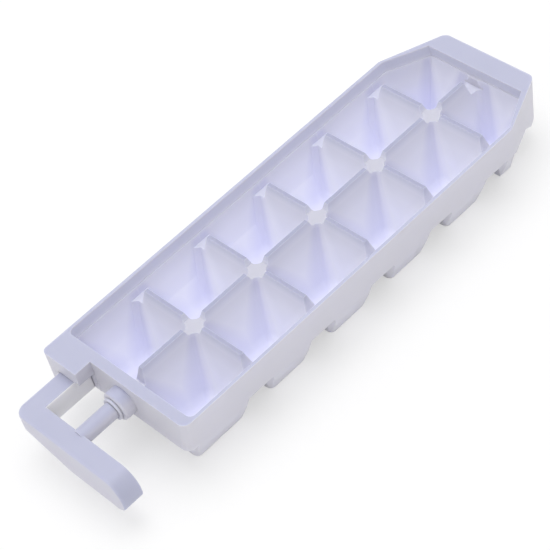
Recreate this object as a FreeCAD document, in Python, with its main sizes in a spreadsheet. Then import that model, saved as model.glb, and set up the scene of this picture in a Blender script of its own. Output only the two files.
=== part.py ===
import FreeCAD, Part
import math
import os

# Lever ice cube tray, in millimetres.
# X runs across the tray, Y along it with the lever at -Y, and Z up from the floor.
# Lengths along Y are counted from the first pad's own grid line, one cell before the first pad.

doc = FreeCAD.newDocument("lever_ice_tray")
sheet = doc.addObject("Spreadsheet::Sheet", "Sizes")

DRIVING = {
    # cells
    "cell_pitch": 38.0,
    "wall": 1.5,
    "cell_floor_half_length": 9.6,
    "cell_floor_inner_x": 9.4,
    "cell_floor_outer_x": 29.4,
    "last_cell_floor_outer_x": 28.6,
    "cell_rounding": 5.0,
    "cell_outer_rounding": 3.0,
    "last_cell_rounding": 3.0,
    "cell_corner_radius": 3.0,
    "front_cell_slope": 0.07,
    "cell_shoulder": 13.0,
    # rim and skirt
    "rim_height": 36.0,
    "half_width": 39.86,
    "skirt_height": 20.0,
    "side_draft": 0.167,
    "front_edge": 4.45,
    "front_basin_edge": 0.67,
    "far_basin_end": 220.3,
    "far_land": 10.6,
    "far_corner_x": 26.2,
    "far_corner_run": 31.9,
    "far_corner_draft": 0.055,
    "far_corner_radius": 4.0,
    "inner_corner_x": 27.8,
    "inner_corner_run": 23.35,
    "far_skirt_edge": 9.8,
    "far_skirt_reach": 5.9,
    "far_skirt_slope": 1.2,
    "far_skirt_rounding": 5.5,
    "basin_ledge": 0.4,
    "basin_corner_radius": 3.0,
    "front_corner_radius": 4.0,
    # ridges and pads
    "ridge_half_width": 0.9,
    "ridge_drop": 2.3,
    "pad_drop": 5.5,
    "pad_half_side": 3.85,
    "pad_flare": 0.31,
    "pad_clear": 5.0,
    "pad_clear_rise": 0.4,
    "wall_pad_drop": 9.8,
    "wall_pad_half_side": 3.7,
    "wall_pad_inset": 3.5,
    "ridge_end_x": 29.6,
    "ridge_end_front": 6.6,
    "ridge_end_far": 8.6,
    "ridge_end_slope": 4.0,
    "ridge_end_wall": 2.1,
    # pivot
    "axis_height": 24.85,
    "shaft_radius": 4.0,
    "boss_radius": 7.2,
    "boss_length": 5.9,
    "boss_rounding": 1.4,
    "collar_radius": 5.4,
    "collar_length": 1.2,
    "pin_radius": 2.2,
    "pin_rounding": 0.3,
    "pin_in_shaft": 9.5,
    "pin_in_boss": 5.5,
    "press_gap": 0.02,
    "running_gap": 0.05,
    "face_gap": 0.15,
    "far_socket_radius": 3.0,
    "far_socket_depth": 6.0,
    "far_boss_wall": 2.4,
    # lever
    "bar_inner_y": 29.1,
    "bar_width": 10.2,
    "bar_top": 28.0,
    "bar_left": 31.5,
    "bar_right": 35.0,
    "bar_end_depth": 8.0,
    "bar_depth": 16.8,
    "bar_slope_end": 0.5,
    "nose_radius": 9.5,
    "nose_lower_radius": 6.0,
    "bar_end_radius": 5.5,
    "bar_rounding": 1.0,
    "arm_outer_x": 31.4,
    "arm_width": 9.6,
    "arm_depth": 12.0,
    "arm_rounding": 0.8,
    "wall_gap": 0.5,
    # corner hood over the arm's end
    "hood_reach": 8.7,
    "hood_inner_left": 32.0,
    "hood_right": 18.1,
    "hood_rounding": 6.0,
    "hood_corner_radius": 2.5,
    "hood_stop_gap": 0.4,
    "pocket_step": 0.15,
    # how far a cutting block runs past what it cuts
    "overrun": 1.0,
}
ROWS = 6
# Two places closer than this are the same.
SAME = 0.01
# Each slanted far corner: where it ends along X, its run along Y, where it ends along Y, and its draft.
OUTER_CORNER = ("far_corner_x", "far_corner_run", "far_y", "far_corner_draft")
INNER_CORNER = ("inner_corner_x", "inner_corner_run", "basin_far_y", "side_draft")

DERIVED = {
    "front_y": "-front_edge",
    "basin_front_y": "front_basin_edge",
    "basin_far_y": "far_basin_end",
    "far_y": "far_basin_end + far_land",
    "lever_front_y": "-(bar_inner_y + bar_width)",
    "centre_y": "(far_y + lever_front_y) / 2",
    "pad_level": "rim_height - pad_drop",
    "wall_pad_level": "rim_height - wall_pad_drop",
    "ridge_level": "rim_height - ridge_drop",
    "cell_depth": "rim_height - ridge_drop - wall",
    "cell_slope": "(cell_pitch / 2 - ridge_half_width - cell_floor_half_length) / cell_depth",
    "cell_inner_slope": "(cell_floor_inner_x - ridge_half_width) / cell_depth",
    "shoulder_x": "half_width - wall - basin_ledge - side_draft * (rim_height - cell_shoulder)",
    "cell_outer_slope": "(shoulder_x - cell_floor_outer_x) / (cell_shoulder - wall)",
    "last_cell_outer_slope": "(shoulder_x - last_cell_floor_outer_x) / (cell_shoulder - wall)",
    "skirt_edge": "rim_height - skirt_height",
    "far_lip_rounding": "far_skirt_rounding - wall",
    "boss_front_y": "-(front_edge + boss_length)",
    "collar_front_y": "boss_front_y - face_gap - collar_length",
    "shaft_end_y": "collar_front_y - face_gap",
    "hood_front_y": "-(front_edge + hood_reach)",
}


def fill_sheet():
    """Writes the driving sizes, then the sizes worked out from them."""
    row = 0
    for table in (DRIVING, DERIVED):
        for alias, content in table.items():
            row += 1
            text = str(content) if table is DRIVING else "=" + content
            sheet.set("A%d" % row, alias)
            sheet.set("B%d" % row, text)
            sheet.setAlias("B%d" % row, alias)
        doc.recompute()


fill_sheet()


def size(alias):
    """The value of one named size."""
    return float(getattr(sheet, alias))


def bind(obj, **rules):
    """Ties properties of an object to sizes of the sheet."""
    for name, rule in rules.items():
        obj.setExpression(name.replace("__", "."), rule)
    return obj


def named(rule):
    """The rule with the sheet's own name in front of each size, as an expression needs it."""
    words = sorted(list(DRIVING) + list(DERIVED), key=len, reverse=True)
    out = ""
    word = ""
    for letter in rule + " ":
        if letter.isalnum() or letter == "_":
            word += letter
            continue
        out += "Sizes." + word if word in words else word
        word = ""
        out += letter
    return out.strip()


def frustum(name, low, high):
    """A block with a rectangle below and another above; each is (x0, x1, y0, y1, z) in named sizes."""
    block = doc.addObject("Part::Wedge", name)
    block.Placement.Rotation = FreeCAD.Rotation(FreeCAD.Vector(1, 0, 0), 90)
    # The block's own Y is the height here, and its own Z points to -Y.
    keys = (("Xmin", "Xmax", "Zmax", "Zmin", "Ymin"), ("X2min", "X2max", "Z2max", "Z2min", "Ymax"))
    for rectangle, names in ((low, keys[0]), (high, keys[1])):
        for rule, key in zip(rectangle, names):
            sign = "-1 * " if "Z" in key else ""
            block.setExpression(key, sign + "(" + named(rule) + ") * 1 mm")
    return block


def cut(name, base, tool):
    """What is left of base when tool is taken away."""
    result = doc.addObject("Part::Cut", name)
    result.Base = base
    result.Tool = tool
    return result


def fuse(name, *pieces):
    """All pieces as one."""
    result = doc.addObject("Part::MultiFuse", name)
    result.Shapes = list(pieces)
    return result


def common(name, *pieces):
    """The space that all pieces share."""
    result = doc.addObject("Part::MultiCommon", name)
    result.Shapes = list(pieces)
    return result


def rounded(name, base, radius_alias, choose):
    """Rounds the chosen edges of a solid with a named radius."""
    doc.recompute()
    result = doc.addObject("Part::Fillet", name)
    result.Base = base
    radius = size(radius_alias)
    result.Edges = [(n + 1, radius, radius) for n, edge in enumerate(base.Shape.Edges) if choose(edge)]
    return result


def cylinder(name, radius, y_from, y_to):
    """A round bar along the pivot axis between two places, in named sizes."""
    bar = doc.addObject("Part::Cylinder", name)
    bar.Placement.Rotation = FreeCAD.Rotation(FreeCAD.Vector(1, 0, 0), -90)
    bind(bar, Radius=named(radius), Height=named("(%s) - (%s)" % (y_to, y_from)))
    bar.setExpression("Placement.Base.y", named(y_from))
    bar.setExpression("Placement.Base.z", named("axis_height"))
    return bar


def box(name, x0, x1, y0, y1, z0, z1):
    """A plain block between six named places."""
    return frustum(name, (x0, x1, y0, y1, z0), (x0, x1, y0, y1, z1))


def is_upright(edge):
    """True for an edge that rises more than it runs."""
    ends = [v.Point for v in edge.Vertexes]
    if len(ends) < 2:
        return False
    rise = ends[1] - ends[0]
    return abs(rise.z) > abs(rise.x) + abs(rise.y)


def is_round(edge):
    """True for a circle."""
    return edge.Curve.TypeId == "Part::GeomCircle"


def lies_at(edge, z):
    """True for an edge that lies flat at one height."""
    return all(abs(v.Point.z - z) < 0.001 for v in edge.Vertexes)


def corner_block(name, side, line, inset, z_low, z_high):
    """The space outside one slanted far corner, standing in from the corner's line by inset."""
    corner_x, run, end_y, draft = line
    across = size("half_width") - size(corner_x)
    turn = math.degrees(math.atan2(across, size(run)))
    low = ("-%s * (rim_height - (%s))" % (draft, z_low), run, "-2 * " + run, "2 * " + run, z_low)
    high = ("-%s * (rim_height - (%s))" % (draft, z_high), run, "-2 * " + run, "2 * " + run, z_high)
    block = frustum(name, low, high)
    heading = turn if side > 0 else 180 - turn
    spin = FreeCAD.Rotation(FreeCAD.Vector(0, 0, 1), heading)
    block.Placement.Rotation = spin.multiply(block.Placement.Rotation)
    inward = inset / math.cos(math.radians(turn))
    block.Placement.Base = FreeCAD.Vector(side * (size("half_width") - inward), size(end_y) - size(run), 0)
    return block


def basin(name, gap, front, far, z_low, z_high, line, inset, right_radius=0.0, left_radius=0.0):
    """A drafted block a gap in from the tray's sides, with far corners slanted along a line."""
    at = "half_width - (%s) - side_draft * (rim_height - (%s))"
    low_x = at % (gap, z_low)
    high_x = at % (gap, z_high)
    low = ("-(%s)" % low_x, low_x, front, far, z_low)
    high = ("-(%s)" % high_x, high_x, front, far, z_high)
    block = frustum(name + "_block", low, high)
    if right_radius > 0:
        doc.recompute()
        middle = size("far_y") / 2
        chosen = []
        for n, edge in enumerate(block.Shape.Edges):
            radius = right_radius if edge.CenterOfMass.x > 0 else left_radius
            if is_upright(edge) and edge.CenterOfMass.y < middle and radius > 0:
                chosen.append((n + 1, radius, radius))
        rounding = doc.addObject("Part::Fillet", name + "_rounded")
        rounding.Base = block
        rounding.Edges = chosen
        block = rounding
    under = z_low + " - overrun"
    over = z_high + " + overrun"
    corners = [corner_block("%s_corner_%d" % (name, n), side, line, inset, under, over)
               for n, side in enumerate((-1, 1))]
    return cut(name, block, fuse(name + "_corners", *corners))


def roof(name, z_top, inset, z_low):
    """A hipped block: flat at z_top and falling to the walls at the slope of the ridge ends."""
    out = "((ridge_level - (%s)) / ridge_end_slope - (%s))"
    rectangles = []
    for z in (z_low, z_top):
        grow = out % (z, inset)
        rectangles.append((
            "-(ridge_end_x + %s)" % grow,
            "ridge_end_x + %s" % grow,
            "basin_front_y + ridge_end_front - %s" % grow,
            "basin_far_y - ridge_end_far + %s" % grow,
            z,
        ))
    return frustum(name, *rectangles)


def cell(name, row, side, shell, z_low):
    """The space inside one cell, or with shell = wall its outer form."""
    rectangles = []
    steep_rectangles = []
    last = "last_" if row == ROWS - 1 else ""
    for z in (z_low, "rim_height"):
        half = "(cell_floor_half_length + cell_slope * ((%s) - wall) + %s)" % (z, shell)
        centre = "%s * cell_pitch" % (row + 0.5)
        y0 = "%s - %s" % (centre, half)
        y1 = "%s + %s" % (centre, half)
        end = "basin_ledge + %s * (pad_level - (%s)) - %s"
        if row == 0:
            y0 = "basin_front_y + " + end % ("front_cell_slope", z, shell)
        if row == ROWS - 1:
            y1 = "basin_far_y - (%s)" % (end % ("cell_slope", z, shell))
        inner = "cell_floor_inner_x - cell_inner_slope * ((%s) - wall) - %s" % (z, shell)
        outer = "half_width - wall - basin_ledge - side_draft * (rim_height - (%s)) + 4 * %s" % (z, shell)
        steep = last + "cell_floor_outer_x + " + last + "cell_outer_slope * ((%s) - wall) + %s" % (z, shell)
        for rule, rectangle in ((outer, rectangles), (steep, steep_rectangles)):
            x0, x1 = (inner, rule) if side > 0 else ("-(%s)" % rule, "-(%s)" % inner)
            rectangle.append((x0, x1, y0, y1, z))
    upper = frustum(name + "_upper", *rectangles)
    lower = frustum(name + "_lower", *steep_rectangles)
    whole = common(name + "_sharp", upper, lower)
    if row == ROWS - 1:
        inset = size("basin_ledge") - (size("wall") if shell == "wall" else 0)
        corner = corner_block(name + "_corner", side, INNER_CORNER, inset, "-overrun", "rim_height + overrun")
        whole = cut(name + "_slanted", whole, corner)
    radius = "cell_outer_rounding" if shell == "wall" else "cell_rounding"
    if row == ROWS - 1:
        radius = "last_cell_rounding"
    bottomed = rounded(name + "_bottom", whole, radius, lambda edge: lies_at(edge, size_of(z_low)))
    # In the last row only the corners beside the middle ridge are soft; the others meet the slanted wall.
    reach = size("cell_floor_inner_x") if row == ROWS - 1 else size("half_width") * 2
    soft = rounded(name + "_soft", bottomed, "cell_corner_radius",
                   lambda edge: is_upright(edge) and abs(edge.CenterOfMass.x) < reach)
    if 0 < row < ROWS - 1:
        return soft
    # The cells at both ends stop at the basin's own end walls.
    length = box(name + "_length", "-half_width", "half_width", "basin_front_y + basin_ledge - " + shell,
                 "basin_far_y - basin_ledge + " + shell, "-overrun", "rim_height + overrun")
    return common(name, soft, length)


def size_of(rule):
    """The height that a cell starts from: the floor of the cell or of the tray."""
    return size(rule) if rule in DRIVING else 0.0


def pad_post(name, half_side, level, x, y, shell):
    """The four-sided post that carries a pad; its corners point along the ridges."""
    low = "%s + pad_flare * %s - %s" % (half_side, level, shell)
    high = "%s - %s" % (half_side, shell)
    post = frustum(name, ("-(%s)" % low, low, "-(%s)" % low, low, "0"),
                   ("-(%s)" % high, high, "-(%s)" % high, high, "%s - %s" % (level, shell)))
    spin = FreeCAD.Rotation(FreeCAD.Vector(0, 0, 1), 45)
    post.Placement.Rotation = spin.multiply(post.Placement.Rotation)
    post.setExpression("Placement.Base.x", named(x))
    post.setExpression("Placement.Base.y", named(y))
    return post


def all_posts(name, shell):
    """The posts under the five whole pads and under the half pads along the walls."""
    middle = "0 * wall"
    wall_places = [("front", middle, "basin_front_y"), ("far", middle, "basin_far_y")]
    posts = []
    for n in range(1, ROWS):
        y = "%d * cell_pitch" % n
        posts.append(pad_post("%s_%d" % (name, n), "pad_half_side", "pad_level", middle, y, shell))
        wall_places.append(("left_%d" % n, "wall_pad_inset - half_width", y))
        wall_places.append(("right_%d" % n, "half_width - wall_pad_inset", y))
    for place, x, y in wall_places:
        post_name = "%s_%s" % (name, place)
        posts.append(pad_post(post_name, "wall_pad_half_side", "wall_pad_level", x, y, shell))
    return fuse(name, *posts)


def all_cells(name, shell, z_low, pad_shell):
    """The twelve cells together, with their corners kept clear for the pads' posts."""
    cells = [cell("%s_%d_%d" % (name, row, n), row, side, shell, z_low)
             for row in range(ROWS) for n, side in enumerate((-1, 1))]
    return cut(name, fuse(name + "_joined", *cells), all_posts(name + "_posts", pad_shell))


def tray_shell():
    """The moulded tray without its boss, hood and far socket: rim, skirt, cells, ridges and pads."""
    above = "rim_height + overrun"
    below = "-overrun"
    sharp = basin("outline", "0", "front_y", "far_y", "0", "rim_height", OUTER_CORNER, 0.0,
                  size("front_corner_radius"))
    far_end = size("far_y") - SAME
    outline = rounded("outline_soft", sharp, "far_corner_radius",
                      lambda edge: is_upright(edge) and edge.CenterOfMass.y > far_end)
    skirt_zone = box("skirt_zone", "-2 * half_width", "2 * half_width",
                     "front_y - overrun", "far_y + overrun", "skirt_edge", above)
    cells_outside = all_cells("cell_outside", "wall", "0 * wall", "wall")
    body = common("shell_outside", outline, fuse("shell_zone", skirt_zone, far_skirt_zone(), cells_outside))
    # The hollow under the deck, between the skirt and the cells.
    under = basin("under", "wall", "front_y + wall", "far_y - wall", below, "rim_height - wall",
                  OUTER_CORNER, size("wall"), size("front_corner_radius") - size("wall"))
    deck = basin("deck", "0", "basin_front_y - wall", "basin_far_y + wall", below, above,
                 INNER_CORNER, -size("wall"))
    lowered = fuse("deck_underside", roof("ridge_underside", "pad_level - wall", "ridge_end_wall", below),
                   box("wall_pad_underside", "-half_width", "half_width", "front_y", "far_y", below,
                       "wall_pad_level - wall"))
    hollow = cut("hollow", cut("hollow_under_deck", under, cut("deck_thickness", deck, lowered)),
                 fuse("hollow_limits", cells_outside, far_lip()))
    body = cut("shell_hollowed", body, hollow)
    # The open space above the ridges, with its steep ridge ends.
    ridges = roof("ridges", "ridge_level", "0 * wall", below)
    pool_radius = size("basin_corner_radius")
    pool = basin("pool", "wall", "basin_front_y", "basin_far_y", "pad_level", above, INNER_CORNER, 0.0,
                 pool_radius, pool_radius)
    # Below the pads the end walls slope as the cells do, so the space stands in from them.
    end = "basin_ledge + %s * (pad_level - wall_pad_level)"
    slopes = basin("slopes", "wall + basin_ledge", "basin_front_y + " + end % "front_cell_slope",
                   "basin_far_y - (%s)" % (end % "cell_slope"), "wall_pad_level", above, INNER_CORNER,
                   size("basin_ledge"), pool_radius, pool_radius)
    clearings = [pad_clearing(n) for n in range(1, ROWS)]
    cells_inside = all_cells("cell_inside", "0 * wall", "wall", "0 * wall")
    space = fuse("tray_space", cut("pool_over_ridges", pool, ridges),
                 cut("slopes_over_ridges", slopes, ridges), cells_inside, *clearings)
    return cut("tray_basin", body, space)


def pad_clearing(number):
    """The open space over one pad, between the ends of the ridges around it."""
    top = "rim_height + overrun"
    rectangles = []
    for z in ("pad_level", top):
        half = "(pad_clear + pad_clear_rise * (%s - pad_level))" % z
        y = "%d * cell_pitch" % number
        rectangles.append(("-" + half, half, y + " - " + half, y + " + " + half, z))
    return frustum("clearing_%d" % number, *rectangles)


def far_skirt_zone():
    """The stretch across the far end where the skirt reaches lower down."""
    front = "far_y - far_skirt_reach"
    top = "skirt_edge + overrun"
    top_front = "%s - far_skirt_slope * (%s - far_skirt_edge)" % (front, top)
    sharp = frustum("far_skirt_sharp", ("-half_width", "half_width", front, "far_y", "far_skirt_edge"),
                    ("-half_width", "half_width", top_front, "far_y", top))
    low = size("far_skirt_edge")
    return rounded("far_skirt_zone", sharp, "far_skirt_rounding",
                   lambda edge: lies_at(edge, low) and edge.CenterOfMass.y > size("far_y") - SAME)


def far_lip():
    """The far wall's lower lip, which curls in under the rim."""
    block = box("far_lip_block", "-half_width", "half_width", "far_y - far_skirt_rounding", "far_y",
                "far_skirt_edge", "far_skirt_edge + far_skirt_rounding")
    inside = box("far_lip_inside_sharp", "-half_width - overrun", "half_width + overrun",
                 "far_y - 2 * far_skirt_rounding", "far_y - wall", "far_skirt_edge + wall", "rim_height")
    low = size("far_skirt_edge") + size("wall")
    far_end = size("far_y") - size("wall") - SAME
    hollow = rounded("far_lip_inside", inside, "far_lip_rounding",
                     lambda edge: lies_at(edge, low) and edge.CenterOfMass.y > far_end)
    return cut("far_lip", block, hollow)


def hood():
    """The block on the front-left corner that the arm's rear end rests against from below."""
    outside = box("hood_outside", "-half_width", "-hood_right", "hood_front_y",
                  "wall - front_edge", "skirt_edge", "rim_height")
    radius = size("hood_rounding")
    doc.recompute()
    left = -size("half_width")
    shape = doc.addObject("Part::Fillet", "hood_rounded")
    shape.Base = outside
    chosen = []
    for n, edge in enumerate(outside.Shape.Edges):
        middle = edge.CenterOfMass
        at_left = abs(middle.x - left) < SAME
        at_front = abs(middle.y - size("hood_front_y")) < SAME
        if at_left and (lies_at(edge, size("skirt_edge")) or (at_front and is_upright(edge))):
            bend = radius if lies_at(edge, size("skirt_edge")) else size("hood_corner_radius")
            chosen.append((n + 1, bend, bend))
    shape.Edges = chosen
    inside = box("hood_inside", "-hood_inner_left", "overrun - hood_right", "hood_front_y - overrun",
                 "-(front_edge + pocket_step)", "skirt_edge - overrun", "bar_top + hood_stop_gap")
    return shape, inside


def ice_tray():
    """The tray with its front boss, corner hood and far socket."""
    shell = tray_shell()
    hood_outside, hood_inside = hood()
    boss = cylinder("boss_bar", "boss_radius", "boss_front_y", "wall - front_edge")
    boss_front = size("boss_front_y")
    boss_end = rounded("boss_rounded", boss, "boss_rounding",
                       lambda edge: is_round(edge) and abs(edge.CenterOfMass.y - boss_front) < SAME)
    far_boss = cylinder("far_boss", "far_socket_radius + far_boss_wall", "basin_far_y + wall / 2",
                        "far_y - wall / 2")
    hooded = cut("tray_with_hood", fuse("shell_and_hood", shell, hood_outside), hood_inside)
    solid = fuse("tray_solid", hooded, boss_end, far_boss)
    pin_hole = cylinder("pin_hole", "pin_radius + press_gap", "boss_front_y - overrun",
                        "boss_front_y + pin_in_boss")
    far_hole = cylinder("far_hole", "far_socket_radius", "far_y - far_socket_depth", "far_y + overrun")
    return cut("ice_tray", solid, fuse("tray_holes", pin_hole, far_hole))


def runs_along(edge, axis):
    """True for an edge whose ends lie apart along one axis, 0 for X, 1 for Y or 2 for Z."""
    return abs(edge.Vertexes[0].Point[axis] - edge.Vertexes[-1].Point[axis]) > size("overrun")


def nosed_bar():
    """The crossbar: it deepens from its left end to the middle, and ends in a round nose on the right."""
    seam = "bar_top - bar_end_depth"
    shallow = box("bar_shallow", "-bar_left", "bar_right", "lever_front_y", "-bar_inner_y", seam, "bar_top")
    deep = frustum("bar_deep",
                   ("-bar_slope_end", "bar_right", "lever_front_y", "-bar_inner_y", "bar_top - bar_depth"),
                   ("-bar_left", "bar_right", "lever_front_y", "-bar_inner_y", seam))
    bar = fuse("bar_sharp", shallow, deep)
    bar.Refine = True
    doc.recompute()
    chosen = []
    for n, edge in enumerate(bar.Shape.Edges):
        middle = edge.CenterOfMass
        if runs_along(edge, 1) and abs(middle.x - size("bar_right")) < SAME:
            radius = size("nose_radius") if lies_at(edge, size("bar_top")) else size("nose_lower_radius")
            chosen.append((n + 1, radius, radius))
        at_left = abs(middle.x + size("bar_left")) < SAME
        if runs_along(edge, 2) and at_left and abs(middle.y - size("lever_front_y")) < SAME:
            chosen.append((n + 1, size("bar_end_radius"), size("bar_end_radius")))
    result = doc.addObject("Part::Fillet", "bar_nosed")
    result.Base = bar
    result.Edges = chosen
    doc.recompute()
    return result


def twist_lever():
    """The crank: a crossbar, an arm along the left side and a round shaft on the pivot axis."""
    bar = rounded("bar_soft", nosed_bar(), "bar_rounding",
                  lambda edge: edge.CenterOfMass.y < size("lever_front_y") + SAME)
    arm = box("arm", "-arm_outer_x", "arm_width - arm_outer_x", "-bar_inner_y - overrun",
              "-(front_edge + wall_gap)", "bar_top - arm_depth", "bar_top")
    doc.recompute()
    arm_soft = rounded("arm_soft", arm, "arm_rounding", lambda edge: runs_along(edge, 1))
    shaft = cylinder("shaft", "shaft_radius", "-(bar_inner_y + overrun)", "shaft_end_y")
    bore = cylinder("shaft_bore", "pin_radius + running_gap", "shaft_end_y - pin_in_shaft - face_gap",
                    "shaft_end_y + overrun")
    return cut("twist_lever", fuse("lever_solid", bar, arm_soft, shaft), bore)


def pivot_pin():
    """The pin held in the tray's boss that the lever's shaft turns on."""
    bar = cylinder("pin_bar", "pin_radius", "shaft_end_y - pin_in_shaft", "boss_front_y + pin_in_boss")
    return rounded("pivot_pin", bar, "pin_rounding", is_round)


def shaft_collar():
    """The thin ring between the boss and the shaft."""
    ring = cylinder("collar_ring", "collar_radius", "collar_front_y", "boss_front_y - face_gap")
    hole = cylinder("collar_hole", "pin_radius + running_gap", "collar_front_y - overrun", "boss_front_y")
    return cut("shaft_collar", ring, hole)


NODES = [ice_tray(), twist_lever(), pivot_pin(), shaft_collar()]

# The finished pieces move together, so that the origin lies under the middle of the whole object.
for node in NODES:
    node.Label = node.Name
    node.setExpression("Placement.Base.y", named("-1 * centre_y"))
doc.recompute()

for item in doc.Objects:
    if "Invalid" in item.State or "Error" in item.State:
        raise RuntimeError("%s did not build: %s" % (item.Name, item.State))

os.makedirs("parts", exist_ok=True)
for node in NODES:
    shape = node.Shape
    if shape.isNull() or not shape.isValid() or len(shape.Solids) != 1:
        raise RuntimeError("%s is not one valid solid" % node.Label)
    limits = shape.BoundBox
    print("%s: volume %.1f mm3" % (node.Label, shape.Volume))
    print("  x %.2f to %.2f, y %.2f to %.2f, z %.2f to %.2f" % (
        limits.XMin, limits.XMax, limits.YMin, limits.YMax, limits.ZMin, limits.ZMax))
    shape.exportStep("parts/%s.step" % node.Label)
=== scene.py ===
"""The look of the lever ice cube tray: soft moulded edges, translucent plastic and a plain studio."""

import logging
import math
from dataclasses import dataclass, field
from enum import Enum

import bmesh
import bpy
from mathutils import Matrix, Vector


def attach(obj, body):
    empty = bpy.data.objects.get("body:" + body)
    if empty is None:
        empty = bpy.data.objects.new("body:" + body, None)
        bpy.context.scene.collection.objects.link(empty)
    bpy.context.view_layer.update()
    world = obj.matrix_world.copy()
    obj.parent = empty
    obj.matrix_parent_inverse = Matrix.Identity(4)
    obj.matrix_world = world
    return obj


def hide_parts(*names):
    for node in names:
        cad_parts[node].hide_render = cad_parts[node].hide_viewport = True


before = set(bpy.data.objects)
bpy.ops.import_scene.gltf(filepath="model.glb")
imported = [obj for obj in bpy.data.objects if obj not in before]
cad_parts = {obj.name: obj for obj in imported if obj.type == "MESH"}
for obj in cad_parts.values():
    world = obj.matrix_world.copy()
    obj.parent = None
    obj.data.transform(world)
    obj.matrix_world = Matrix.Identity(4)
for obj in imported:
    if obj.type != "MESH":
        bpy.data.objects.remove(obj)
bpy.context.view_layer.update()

LOG = logging.getLogger("ice_tray")
MM = 0.001
BLACK = "000000"
WHITE = "FFFFFF"
# Where the mix node keeps its colour sockets, after those for numbers and vectors.
MIX_FIRST, MIX_SECOND, MIX_RESULT = 6, 7, 2
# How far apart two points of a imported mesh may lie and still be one, and how short an edge counts as none.
MERGE_MM = 0.002
SLIVER_MM = 0.001
# How much two faces may turn and still be one flat face, and from what turn on an edge is sharp.
FLAT_DEG = 0.3
SHARP_DEG = 28.0
# How far the shading follows the larger faces, of 100.
LARGE_FACE_WEIGHT = 60

Value = bpy.types.NodeSocket | float | tuple[float, ...]


class Body(Enum):
    """The two bodies that the joint moves against each other."""

    TRAY = "tray"
    LEVER = "lever"


class Slot(Enum):
    """Names for the three plastics' material slots."""

    TRAY = "tray_plastic"
    LEVER = "lever_plastic"
    PIN = "pin_plastic"


def linear(hex_colour: str) -> tuple[float, float, float, float]:
    """Turns an sRGB hex colour into the linear colour that shaders take.

    Args:
        hex_colour: Six hex digits, such as "C8C8E6".

    Returns:
        Red, green, blue and an alpha of 1.
    """
    channels = [int(hex_colour[i:i + 2], 16) / 255 for i in (0, 2, 4)]
    red, green, blue = (v / 12.92 if v <= 0.04045 else ((v + 0.055) / 1.055) ** 2.4 for v in channels)
    return red, green, blue, 1.0


def add_node(tree: bpy.types.NodeTree, kind: str, values: dict | None = None, **settings) -> bpy.types.Node:
    """Adds a node, sets its properties, and fills or links its inputs.

    Args:
        tree: The node tree to add to.
        kind: The node's type name.
        values: Input name or index to a plain value, or to an output socket to link.
        settings: Properties of the node itself.

    Returns:
        The new node.
    """
    node = tree.nodes.new(kind)
    for name, value in settings.items():
        setattr(node, name, value)
    for key, value in (values or {}).items():
        socket = node.inputs[key]
        if isinstance(value, bpy.types.NodeSocket):
            tree.links.new(value, socket)
        else:
            socket.default_value = value
    return node


def mix_colours(tree: bpy.types.NodeTree, share: Value, first: Value, second: Value,
                how: str = "MIX") -> bpy.types.NodeSocket:
    """Mixes two colours, each a plain value or an output socket.

    Args:
        tree: The node tree to add to.
        share: How much of the second colour shows.
        first: The colour at a share of 0.
        second: The colour at a share of 1.
        how: The way the second colour is laid over the first.

    Returns:
        The mixed colour's socket.
    """
    mix = add_node(tree, "ShaderNodeMix", {"Factor": share, MIX_FIRST: first, MIX_SECOND: second},
                   data_type="RGBA", blend_type=how)
    return mix.outputs[MIX_RESULT]


def work(tree: bpy.types.NodeTree, operation: str, *values: Value) -> bpy.types.NodeSocket:
    """Adds one step of arithmetic.

    Args:
        tree: The node tree to add to.
        operation: The name of the step.
        values: What it works on, as plain numbers or output sockets.

    Returns:
        The result's socket.
    """
    return add_node(tree, "ShaderNodeMath", dict(enumerate(values)), operation=operation).outputs["Value"]


def parts(tree: bpy.types.NodeTree, vector: bpy.types.NodeSocket) -> bpy.types.bpy_prop_collection:
    """Splits a vector.

    Args:
        tree: The node tree to add to.
        vector: The vector's socket.

    Returns:
        The sockets X, Y and Z.
    """
    return add_node(tree, "ShaderNodeSeparateXYZ", {"Vector": vector}).outputs


def share_of(tree: bpy.types.NodeTree, value: Value, start: float, end: float,
             kind: str = "LINEAR") -> bpy.types.NodeSocket:
    """Tells how far a value has come along a span.

    Args:
        tree: The node tree to add to.
        value: The value's socket.
        start: The value where the share is 0.
        end: The value where the share is 1.
        kind: How the share grows between them.

    Returns:
        The share's socket, from 0 to 1.
    """
    span = {"Value": value, "From Min": start, "From Max": end}
    return add_node(tree, "ShaderNodeMapRange", span, interpolation_type=kind).outputs["Result"]


def colour_by(tree: bpy.types.NodeTree, value: Value, stops: tuple[tuple[float, str], ...],
              unit: float) -> bpy.types.NodeSocket:
    """Turns a value into a colour between stops.

    Args:
        tree: The node tree to add to.
        value: The value's socket.
        stops: Pairs of a value and a hex colour, from the lowest up.
        unit: What one unit of a stop's value is worth.

    Returns:
        The colour's socket.
    """
    low, high = stops[0][0], stops[-1][0]
    ramp = add_node(tree, "ShaderNodeValToRGB", {"Fac": share_of(tree, value, low * unit, high * unit)})
    places = ramp.color_ramp.elements
    while len(places) < len(stops):
        places.new(1.0)
    for place, (level, colour) in zip(places, stops):
        place.position = (level - low) / (high - low)
        place.color = linear(colour)
    return ramp.outputs["Color"]


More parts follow.
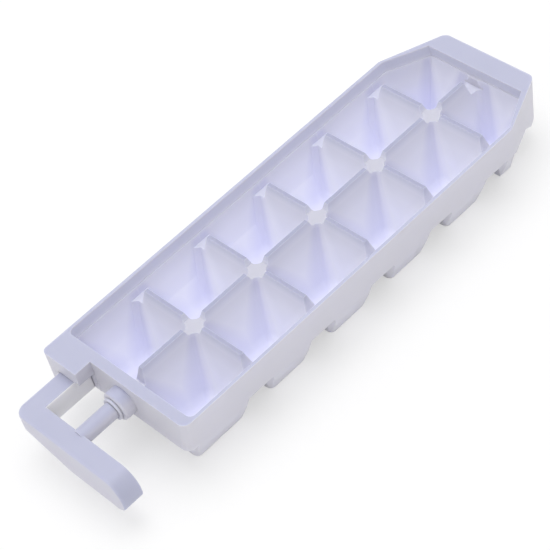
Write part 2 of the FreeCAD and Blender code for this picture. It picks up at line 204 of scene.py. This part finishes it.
@dataclass(frozen=True)
class FrostedPolypropylene:
    """Moulded natural polypropylene with a faint violet tint: milky and waxy.

    The milkiness is subsurface scattering, and the colour drifts with flow marks. Faces that look up are
    painted darker and bluer than upright ones, a painted shade. A fine moulded grain breaks up the
    highlights.
    """

    name: str
    upright: str
    shaded_top: str
    roughness: float = 0.45
    roughness_drift: float = 0.05
    sheen: float = 0.35
    refraction: float = 1.49
    milk: float = 0.6
    scatter_mm: float = 1.8
    scatter_by_colour: tuple[float, float, float] = (1.0, 1.0, 1.1)
    glow_strength: float = 1.0
    upward_from: float = 0.35
    upward_full: float = 0.95
    cloud_mm: float = 22.0
    cloud_depth: float = 0.05
    cloud_detail: float = 2.0
    cloud_roughness: float = 0.45
    grain_mm: float = 0.9
    grain_depth_mm: float = 0.02
    grain_detail: float = 3.0
    grain_strength: float = 0.35

    def colour(self, tree: bpy.types.NodeTree, place: bpy.types.Node) -> bpy.types.NodeSocket:
        """Lays the painted shade of upward faces over the upright colour.

        Args:
            tree: The material's node tree.
            place: The texture coordinates.

        Returns:
            The colour before its slow drifts.
        """
        facing = parts(tree, place.outputs["Normal"])
        upward = share_of(tree, facing["Z"], self.upward_from, self.upward_full, "SMOOTHSTEP")
        # Upward faces take the shaded top colour: a painted shade.
        return mix_colours(tree, upward, linear(self.upright), linear(self.shaded_top))

    def light(self, tree: bpy.types.NodeTree, place: bpy.types.Node) -> bpy.types.NodeSocket | tuple:
        """Gives the painted glow that the plastic shows, which is none unless a thinner plastic says so.

        Args:
            tree: The material's node tree.
            place: The texture coordinates.

        Returns:
            The painted glow's colour.
        """
        return linear(BLACK)

    def build(self) -> bpy.types.Material:
        """Makes the material.

        Returns:
            A node material for any piece moulded in this plastic.
        """
        material = bpy.data.materials.new(self.name)
        material.use_nodes = True
        tree = material.node_tree
        tree.nodes.clear()
        place = add_node(tree, "ShaderNodeTexCoord")
        cloud = add_node(tree, "ShaderNodeTexNoise", {
            "Vector": place.outputs["Object"], "Scale": 1 / (self.cloud_mm * MM),
            "Detail": self.cloud_detail, "Roughness": self.cloud_roughness})
        drift = add_node(tree, "ShaderNodeMapRange", {
            "Value": cloud.outputs["Fac"], "To Min": 1 - self.cloud_depth, "To Max": 1.0})
        tint = add_node(tree, "ShaderNodeHueSaturation", {
            "Color": self.colour(tree, place), "Value": drift.outputs["Result"]})
        grain = add_node(tree, "ShaderNodeTexNoise", {
            "Vector": place.outputs["Object"], "Scale": 1 / (self.grain_mm * MM),
            "Detail": self.grain_detail})
        bump = add_node(tree, "ShaderNodeBump", {
            "Height": grain.outputs["Fac"], "Strength": self.grain_strength,
            "Distance": self.grain_depth_mm * MM})
        gloss = add_node(tree, "ShaderNodeMapRange", {
            "Value": cloud.outputs["Fac"], "To Min": self.roughness - self.roughness_drift,
            "To Max": self.roughness + self.roughness_drift})
        # The emission is a painted glow; the plastic is no lamp.
        plastic = add_node(tree, "ShaderNodeBsdfPrincipled", {
            "Base Color": tint.outputs["Color"], "Roughness": gloss.outputs["Result"],
            "Normal": bump.outputs["Normal"], "IOR": self.refraction, "Subsurface Weight": self.milk,
            "Subsurface Radius": self.scatter_by_colour, "Subsurface Scale": self.scatter_mm * MM,
            "Specular IOR Level": self.sheen, "Emission Color": self.light(tree, place),
            "Emission Strength": self.glow_strength})
        output = add_node(tree, "ShaderNodeOutputMaterial")
        tree.links.new(plastic.outputs["BSDF"], output.inputs["Surface"])
        return material


@dataclass(frozen=True)
class TrayPolypropylene(FrostedPolypropylene):
    """The tray's plastic, with painted light and shade: its cells are painted paler and glow the lower they
    lie, standing in for light through the thin walls, and the crests and the band under the rim carry painted
    shade, the pads painted light.

    Below each pad a painted shade fans out down the corner of the cell, a bluer band and a paler one.
    """

    # Painted shade on the flat tops of the ridge crests.
    crest_shade: str = "AEB0C8"
    crest_from_mm: float = 32.0
    # Painted light on the flat pads at both levels.
    pad_painted_light: str = "CFCFDC"
    pad_mm: float = 30.5
    wall_pad_painted_light: str = "DCDDED"
    wall_pad_mm: float = 26.2
    pad_reach_mm: float = 0.3
    inward_from: float = 0.02
    inward_full: float = 0.1
    end_wall_turn: float = -0.5
    flat_from: float = 0.97
    # Painted light: the cells grow paler with depth; painted shade darkens them just under the rim.
    painted_basin_light: tuple[tuple[float, str], ...] = (
        (2.0, "F4F4FC"), (12.0, "F3F3FB"), (22.0, "EFEFF8"),
        (29.5, "E4E4EF"), (32.5, "D0D1E0"), (35.4, "CECFDE"))
    # A painted glow low in the cells, in place of light through the thin walls.
    glow: tuple[tuple[float, str], ...] = ((2.0, "484A5A"), (14.0, "3E3F4A"), (30.0, BLACK))
    # Painted shade in each cell's corner below a pad, multiplied in: darker beside the long ridge, paler
    # beside the cross ridge.
    corner_shade_tones: tuple[tuple[float, str], ...] = (
        (-1.9, "F9F9FA"), (-0.9, "EDEDF6"), (-0.1, "ECECF6"),
        (0.3, "FAFAFD"), (0.8, "FFFFFF"), (2.0, "F9F9FA"))
    corner_shade_from_mm: float = 31.0
    corner_shade_full_mm: float = 28.5
    basin_front_mm: float = -96.6
    rim_mm: float = 35.4
    first_pad_mm: float = -95.785
    half_pitch_mm: float = 19.0
    wall_pad_x_mm: float = 36.36
    corner_shade_mm: float = 2.6
    corner_shade_flare: float = 0.24

    def colour(self, tree: bpy.types.NodeTree, place: bpy.types.Node) -> bpy.types.NodeSocket:
        """Adds painted light and shade to the plain plastic: the basin paler with depth, shade on crests and
        corners, light on the pads.

        Args:
            tree: The material's node tree.
            place: The texture coordinates.

        Returns:
            The colour before its slow drifts.
        """
        facing = parts(tree, place.outputs["Normal"])
        spot = parts(tree, place.outputs["Object"])
        # The basin's painted light and shade, by height.
        painted_depth_light = colour_by(tree, spot["Z"], self.painted_basin_light, MM)
        inner = share_of(tree, facing["Z"], self.inward_from, self.inward_full, "SMOOTHSTEP")
        behind = work(tree, "GREATER_THAN", spot["Y"], self.basin_front_mm * MM)
        below = work(tree, "LESS_THAN", spot["Z"], self.rim_mm * MM)
        # The far end wall is upright above the ridges.
        end_wall = work(tree, "MULTIPLY", work(tree, "LESS_THAN", facing["Y"], self.end_wall_turn),
                        work(tree, "GREATER_THAN", spot["Z"], self.pad_mm * MM))
        inward = work(tree, "MAXIMUM", inner, end_wall)
        painted_basin_light = work(tree, "MULTIPLY", work(tree, "MULTIPLY", behind, below), inward)
        # The painted corner shade fades in below the ridges.
        fade = share_of(tree, spot["Z"], self.corner_shade_from_mm * MM, self.corner_shade_full_mm * MM)
        corner_shaded = mix_colours(tree, fade, painted_depth_light, self.paint_corner_shade(tree, spot), "MULTIPLY")
        # Flat faces above the crest height get a painted shade.
        flat = work(tree, "GREATER_THAN", facing["Z"], self.flat_from)
        crest_shade = work(tree, "GREATER_THAN", spot["Z"], self.crest_from_mm * MM)
        crest_shaded = mix_colours(tree, work(tree, "MULTIPLY", flat, crest_shade), corner_shaded, linear(self.crest_shade))
        mixed = mix_colours(tree, painted_basin_light, super().colour(tree, place), crest_shaded)
        # The flat pads at both levels get painted light.
        for level_mm, tone in ((self.pad_mm, self.pad_painted_light), (self.wall_pad_mm, self.wall_pad_painted_light)):
            near = work(tree, "COMPARE", spot["Z"], level_mm * MM, self.pad_reach_mm * MM)
            mixed = mix_colours(tree, work(tree, "MULTIPLY", flat, near), mixed, linear(tone))
        return mixed

    def paint_corner_shade(self, tree: bpy.types.NodeTree,
               spot: bpy.types.bpy_prop_collection) -> bpy.types.NodeSocket:
        """Paints shade into a cell's corner: darker beside the long ridge and paler beside the cross ridge.

        Args:
            tree: The material's node tree.
            spot: The sockets of the place on the object.

        Returns:
            The painted corner shade's colour.
        """
        across = work(tree, "PINGPONG", work(tree, "ABSOLUTE", spot["X"]), self.wall_pad_x_mm / 2 * MM)
        from_first = work(tree, "SUBTRACT", spot["Y"], self.first_pad_mm * MM)
        along = work(tree, "PINGPONG", from_first, self.half_pitch_mm * MM)
        offset = work(tree, "SUBTRACT", across, along)
        foot = (self.corner_shade_mm + self.corner_shade_flare * self.pad_mm) * MM
        width = work(tree, "MULTIPLY_ADD", spot["Z"], -self.corner_shade_flare, foot)
        return colour_by(tree, work(tree, "DIVIDE", offset, width), self.corner_shade_tones, unit=1.0)

    def light(self, tree: bpy.types.NodeTree, place: bpy.types.Node) -> bpy.types.NodeSocket:
        """Gives the faint painted glow low in the cells, in place of the light that thin walls carry down
        into them.

        Args:
            tree: The material's node tree.
            place: The texture coordinates.

        Returns:
            The painted glow's colour, black outside the cells.
        """
        facing = parts(tree, place.outputs["Normal"])
        spot = parts(tree, place.outputs["Object"])
        inner = share_of(tree, facing["Z"], 0.0, self.inward_full)
        return mix_colours(tree, inner, linear(BLACK), colour_by(tree, spot["Z"], self.glow, MM))


@dataclass(frozen=True)
class LeverPolypropylene(FrostedPolypropylene):
    """The lever's plastic: painted light on the arm's inner side and painted shade at the nose."""

    # Painted light on the arm's inner side.
    arm_side_painted_light: str = "FCFBFF"
    arm_until_mm: float = -11.0
    side_turn: float = 0.7
    # Painted shade on the nose.
    nose_painted_shade: str = "B8BACF"
    nose_from_mm: float = 22.0
    nose_turn_from: float = 0.2
    nose_turn_full: float = 0.6

    def colour(self, tree: bpy.types.NodeTree, place: bpy.types.Node) -> bpy.types.NodeSocket:
        """Adds painted light on the arm's inner side and painted shade on the nose to the plain plastic.

        Args:
            tree: The material's node tree.
            place: The texture coordinates.

        Returns:
            The colour before its slow drifts.
        """
        facing = parts(tree, place.outputs["Normal"])
        spot = parts(tree, place.outputs["Object"])
        # The arm's inner side gets painted light, the nose painted shade.
        side = work(tree, "GREATER_THAN", facing["X"], self.side_turn)
        left = work(tree, "LESS_THAN", spot["X"], self.arm_until_mm * MM)
        pale = mix_colours(tree, work(tree, "MULTIPLY", side, left), super().colour(tree, place),
                           linear(self.arm_side_painted_light))
        turned = share_of(tree, facing["X"], self.nose_turn_from, self.nose_turn_full, "SMOOTHSTEP")
        right = work(tree, "GREATER_THAN", spot["X"], self.nose_from_mm * MM)
        return mix_colours(tree, work(tree, "MULTIPLY", turned, right), pale, linear(self.nose_painted_shade))


def moulded_copy(node: str, name: str, edge_mm: float, segments: int = 2) -> bpy.types.Object:
    """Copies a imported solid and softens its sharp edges, as a mould does.

    Args:
        node: The CAD node to copy.
        name: The new piece's name.
        edge_mm: How wide each softened edge is.
        segments: How many faces round each edge.

    Returns:
        The new object, which stands for the CAD node.
    """
    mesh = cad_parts[node].data.copy()
    mesh.name = name
    mesh.materials.clear()
    shape = bmesh.new()
    shape.from_mesh(mesh)
    bmesh.ops.remove_doubles(shape, verts=shape.verts, dist=MERGE_MM * MM)
    bmesh.ops.dissolve_degenerate(shape, edges=shape.edges, dist=SLIVER_MM * MM)
    bmesh.ops.dissolve_limit(shape, angle_limit=math.radians(FLAT_DEG), verts=shape.verts, edges=shape.edges)
    shape.to_mesh(mesh)
    shape.free()
    piece = bpy.data.objects.new(name, mesh)
    bpy.context.scene.collection.objects.link(piece)
    soften = piece.modifiers.new("soft_edges", "BEVEL")
    soften.width = edge_mm * MM
    soften.segments = segments
    soften.limit_method = "ANGLE"
    soften.angle_limit = math.radians(SHARP_DEG)
    for face in mesh.polygons:
        face.use_smooth = True
    even = piece.modifiers.new("even_shading", "WEIGHTED_NORMAL")
    even.keep_sharp = True
    even.weight = LARGE_FACE_WEIGHT
    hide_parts(node)
    return piece


@dataclass
class Tray:
    """The twelve-cell moulding with its boss and corner hood."""

    finish: FrostedPolypropylene
    edge_mm: float = 0.65

    def build(self) -> bpy.types.Object:
        """Makes the tray piece and lets it ride on the tray's body.

        Returns:
            The tray piece.
        """
        piece = moulded_copy("ice_tray", "tray_moulding", self.edge_mm)
        piece.data.materials.append(self.finish.build())
        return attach(piece, Body.TRAY.value)


@dataclass
class Lever:
    """The crank that twists the tray."""

    finish: FrostedPolypropylene
    edge_mm: float = 0.5
    edge_segments: int = 3

    def build(self) -> bpy.types.Object:
        """Makes the lever piece and lets it ride on the lever's body.

        Returns:
            The lever piece.
        """
        piece = moulded_copy("twist_lever", "lever_moulding", self.edge_mm, self.edge_segments)
        piece.data.materials.append(self.finish.build())
        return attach(piece, Body.LEVER.value)


@dataclass
class PivotFittings:
    """The pin inside the shaft and the ring in front of the boss."""

    finish: FrostedPolypropylene
    nodes: tuple[str, ...] = ("pivot_pin", "shaft_collar")
    edge_mm: float = 0.15

    def build(self) -> list[bpy.types.Object]:
        """Makes both fittings and lets them ride on the tray's body.

        Returns:
            The pieces, in the order of their nodes.
        """
        material = self.finish.build()
        pieces = []
        for node in self.nodes:
            piece = moulded_copy(node, node + "_moulding", self.edge_mm)
            piece.data.materials.append(material)
            pieces.append(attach(piece, Body.TRAY.value))
        return pieces


def background_share(tree: bpy.types.NodeTree) -> bpy.types.NodeSocket:
    """Tells which rays see the plain background: the camera's own, and those off or through the plastic.

    Args:
        tree: The node tree to add to.

    Returns:
        A socket that is 1 for those rays and 0 for the others.
    """
    ray = add_node(tree, "ShaderNodeLightPath")
    bent = work(tree, "MAXIMUM", ray.outputs["Is Glossy Ray"], ray.outputs["Is Transmission Ray"])
    return work(tree, "MAXIMUM", ray.outputs["Is Camera Ray"], bent)


@dataclass(frozen=True)
class Lamp:
    """One soft square lamp aimed at the tray."""

    name: str
    place_m: tuple[float, float, float]
    side_m: float
    power_w: float

    def hang(self) -> None:
        """Hangs the lamp so that it shines at the middle of the frame."""
        data = bpy.data.lights.new(self.name, "AREA")
        data.size = self.side_m
        data.energy = self.power_w
        lamp = bpy.data.objects.new(self.name, data)
        lamp.location = self.place_m
        lamp.rotation_mode = "QUATERNION"
        lamp.rotation_quaternion = (-Vector(self.place_m)).to_track_quat("-Z", "Y")
        bpy.context.scene.collection.objects.link(lamp)


@dataclass
class Studio:
    """The white floor, the soft lamps and the camera at the photograph's angle."""

    camera_mm: Vector = field(default_factory=lambda: Vector((456.59, -321.26, 614.92)))
    right: Vector = field(default_factory=lambda: Vector((0.70186, 0.68934, -0.17945)))
    down: Vector = field(default_factory=lambda: Vector((0.43707, -0.61569, -0.65567)))
    focal_px: float = 1867.04
    picture_px: float = 550.0
    sensor_mm: float = 36.0
    near_m: float = 0.01
    far_m: float = 20.0
    floor_half_m: float = 3.0
    floor_glow: float = 0.5
    paper: str = "FAFAFA"
    white_strength: float = 1.0
    sky_strength: float = 0.8
    lamps: tuple[Lamp, ...] = (
        Lamp("overhead", (-0.15, 0.1, 1.2), side_m=0.9, power_w=5.0),
        Lamp("front", (0.1, -1.3, 0.5), side_m=1.0, power_w=1.2))

    def camera(self) -> bpy.types.Object:
        """Stands the camera where the photograph was taken from.

        Returns:
            The camera.
        """
        data = bpy.data.cameras.new("photo_camera")
        data.sensor_width = self.sensor_mm
        data.lens = self.sensor_mm * self.focal_px / self.picture_px
        data.clip_start = self.near_m
        data.clip_end = self.far_m
        camera = bpy.data.objects.new("photo_camera", data)
        bpy.context.scene.collection.objects.link(camera)
        x_axis = self.right.normalized()
        y_axis = -self.down.normalized()
        z_axis = x_axis.cross(y_axis)
        turn = Matrix((x_axis, y_axis, z_axis)).transposed()
        camera.matrix_world = Matrix.Translation(self.camera_mm * MM) @ turn.to_4x4()
        bpy.context.scene.camera = camera
        return camera

    def floor(self) -> bpy.types.Object:
        """Lays a white floor that keeps the tray's shadow.

        Returns:
            The floor.
        """
        shape = bmesh.new()
        bmesh.ops.create_grid(shape, x_segments=1, y_segments=1, size=self.floor_half_m)
        mesh = bpy.data.meshes.new("floor")
        shape.to_mesh(mesh)
        shape.free()
        floor = bpy.data.objects.new("floor", mesh)
        bpy.context.scene.collection.objects.link(floor)
        material = bpy.data.materials.new("white_paper_sweep")
        material.use_nodes = True
        tree = material.node_tree
        tree.nodes.clear()
        paper = add_node(tree, "ShaderNodeBsdfDiffuse", {"Color": linear(self.paper)})
        glow = add_node(tree, "ShaderNodeEmission", {
            "Color": linear(WHITE), "Strength": self.white_strength})
        share = work(tree, "MULTIPLY", background_share(tree), self.floor_glow)
        mix = add_node(tree, "ShaderNodeMixShader", {
            0: share, 1: paper.outputs["BSDF"], 2: glow.outputs["Emission"]})
        output = add_node(tree, "ShaderNodeOutputMaterial")
        tree.links.new(mix.outputs["Shader"], output.inputs["Surface"])
        mesh.materials.append(material)
        return floor

    def world(self) -> None:
        """Gives an even pale sky, white where it is seen."""
        world = bpy.data.worlds.new("studio")
        bpy.context.scene.world = world
        world.use_nodes = True
        tree = world.node_tree
        tree.nodes.clear()
        sky, white = (add_node(tree, "ShaderNodeBackground", {"Color": linear(WHITE), "Strength": strength})
                      for strength in (self.sky_strength, self.white_strength))
        mix = add_node(tree, "ShaderNodeMixShader", {
            0: background_share(tree), 1: sky.outputs["Background"], 2: white.outputs["Background"]})
        output = add_node(tree, "ShaderNodeOutputWorld")
        tree.links.new(mix.outputs["Shader"], output.inputs["Surface"])

    def build(self) -> None:
        """Sets up the whole studio."""
        self.camera()
        self.floor()
        self.world()
        for lamp in self.lamps:
            lamp.hang()
        bpy.context.scene.view_settings.view_transform = "Standard"


def main() -> None:
    """Builds every piece, then the studio."""
    logging.basicConfig(level=logging.INFO, format="%(name)s: %(message)s")
    # Each plastic's shaded top colour is painted shade on upward faces.
    tray = Tray(TrayPolypropylene("natural_polypropylene_tray", upright="D4D3DD", shaded_top="BEC0D6"))
    lever = Lever(LeverPolypropylene("natural_polypropylene_lever", upright="CDCCD9", shaded_top="BEC0D6"))
    fittings = PivotFittings(
        FrostedPolypropylene("natural_polypropylene_pin", upright="D2D2DC", shaded_top="C8CADC"))
    for assembly in (tray, lever, fittings):
        made = assembly.build()
        LOG.info("built %s", made)
    Studio().build()


if __name__ == "__main__":
    main()
